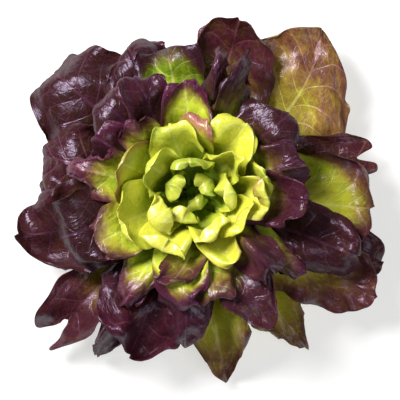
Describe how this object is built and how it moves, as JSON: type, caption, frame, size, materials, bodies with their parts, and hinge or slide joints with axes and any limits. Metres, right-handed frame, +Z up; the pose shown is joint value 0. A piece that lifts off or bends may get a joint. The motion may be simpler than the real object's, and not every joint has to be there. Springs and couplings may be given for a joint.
{
  "type": "red butterhead lettuce head",
  "caption": "Open head of red butterhead lettuce standing on its cut stem, with dark spreading leaves round a pale green heart.",
  "frame": {"origin": "centre of the stem's cut face, on the surface that the head stands on", "axes": "+Z up along the stem; +X towards the right-hand side of the picture, which looks straight down, and +Y towards its top"},
  "size_m": [0.2785, 0.2768, 0.0974],
  "materials": {
    "stem": "pale green, moist and fibrous; a cut face below",
    "outer_leaf": "dark purple leaf, glossy and finely wrinkled, green towards the base",
    "middle_leaf": "purple-brown leaf with glossy tips, green towards the base",
    "heart_leaf": "yellow-green leaf, soft sheen, lets light through"
  },
  "bodies": {
    "root": {"stem": "stem", "outer_leaf_01": "outer_leaf", "outer_leaf_02": "outer_leaf", "outer_leaf_03": "outer_leaf", "outer_leaf_04": "outer_leaf", "outer_leaf_05": "outer_leaf", "outer_leaf_06": "outer_leaf", "outer_leaf_07": "outer_leaf", "outer_leaf_08": "outer_leaf", "outer_leaf_09": "outer_leaf", "outer_leaf_10": "outer_leaf", "outer_leaf_11": "outer_leaf", "outer_leaf_12": "outer_leaf", "outer_leaf_13": "outer_leaf", "outer_leaf_14": "outer_leaf", "outer_leaf_15": "outer_leaf", "outer_leaf_16": "outer_leaf", "outer_leaf_17": "outer_leaf", "outer_leaf_18": "outer_leaf", "middle_leaf_01": "middle_leaf", "middle_leaf_02": "middle_leaf", "middle_leaf_03": "middle_leaf", "middle_leaf_04": "middle_leaf", "middle_leaf_05": "middle_leaf", "middle_leaf_06": "middle_leaf", "middle_leaf_07": "middle_leaf", "middle_leaf_08": "middle_leaf", "middle_leaf_09": "middle_leaf", "middle_leaf_10": "middle_leaf", "middle_leaf_11": "middle_leaf", "middle_leaf_12": "middle_leaf", "middle_leaf_13": "middle_leaf", "middle_leaf_14": "middle_leaf", "middle_leaf_15": "middle_leaf", "middle_leaf_16": "middle_leaf", "middle_leaf_17": "middle_leaf", "middle_leaf_18": "middle_leaf", "middle_leaf_19": "middle_leaf", "middle_leaf_20": "middle_leaf", "middle_leaf_21": "middle_leaf", "heart_leaf_01": "heart_leaf", "heart_leaf_02": "heart_leaf", "heart_leaf_03": "heart_leaf", "heart_leaf_04": "heart_leaf", "heart_leaf_05": "heart_leaf", "heart_leaf_06": "heart_leaf", "heart_leaf_07": "heart_leaf", "heart_leaf_08": "heart_leaf", "heart_leaf_09": "heart_leaf", "heart_leaf_10": "heart_leaf", "heart_leaf_11": "heart_leaf", "heart_leaf_12": "heart_leaf", "heart_leaf_13": "heart_leaf", "heart_leaf_14": "heart_leaf", "heart_leaf_15": "heart_leaf", "heart_leaf_16": "heart_leaf", "heart_leaf_17": "heart_leaf", "heart_leaf_18": "heart_leaf", "heart_leaf_19": "heart_leaf", "heart_leaf_20": "heart_leaf"}
  },
  "joints": []
}
